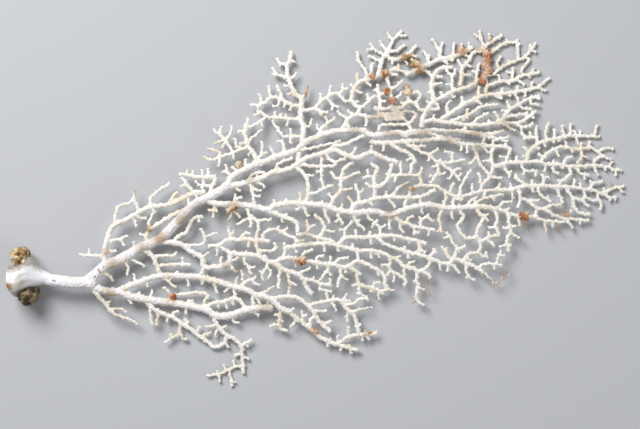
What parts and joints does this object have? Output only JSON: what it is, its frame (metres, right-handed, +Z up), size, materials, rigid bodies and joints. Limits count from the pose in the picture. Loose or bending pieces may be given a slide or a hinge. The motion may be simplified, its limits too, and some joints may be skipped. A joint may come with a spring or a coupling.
{
  "type": "dried sea fan",
  "caption": "Bleached, dried sea fan: a finely branched, almost flat coral fan on one short stem, with its holdfast and the chips of reef rock it grips; lies flat on a surface.",
  "frame": {"origin": "centre of the bottom face of the bounding box, on the surface the fan lies on", "axes": "+X from the holdfast's cut to the outer tips, +Y across the fan in its plane, +Z up from the surface"},
  "size_m": [0.3064, 0.1788, 0.0237],
  "materials": {
    "coral": "dry chalky granular crust, bleached white with a cream tint",
    "membrane": "smooth dried holdfast skin, slightly glossy pale grey-white",
    "pale_rock": "rough ochre and cream reef rock",
    "dark_rock": "rough dark brown-grey reef rock"
  },
  "bodies": {
    "root": {"arching_branch": "coral", "between_limbs": "coral", "braid_limb": "coral", "cross_row": "coral", "crossing_limb": "coral", "crown_limb": "coral", "crown_twig_left": "coral", "fan_tree": "coral", "far_mid_limb": "coral", "far_row_high": "coral", "far_row_low": "coral", "far_row_mid": "coral", "far_top_crown": "coral", "far_top_limb": "coral", "first_drop": "coral", "first_lower_twig": "coral", "grid_row": "coral", "holdfast": "membrane", "hook_twig": "coral", "inner_limb": "coral", "inner_tail": "coral", "left_climber": "coral", "long_row": "coral", "low_rim_branch": "coral", "lower_fork": "coral", "lower_limb": "coral", "lower_mesh_limb": "coral", "lower_outer_branch": "coral", "mesh_row": "coral", "middle_limb": "coral", "net_drop_left": "coral", "net_drop_right": "coral", "net_far": "coral", "net_limb": "coral", "net_links": "coral", "net_side": "coral", "net_side_inner": "coral", "right_long_row": "coral", "right_low_branch": "coral", "right_middle_branch": "coral", "right_row": "coral", "right_upper_branch": "coral", "rising_limb": "coral", "rock_chip_lower": "dark_rock", "rock_chip_upper": "pale_rock", "seaward_link": "coral", "second_limb": "coral", "shoulder_branch": "coral", "side_tree": "coral", "stem": "coral", "tall_limb": "coral", "tall_limb_left": "coral", "tall_limb_tip": "coral", "upper_limb": "coral", "upper_mesh_limb": "coral", "upper_mid_limb": "coral", "upper_twin": "coral"}
  },
  "joints": []
}
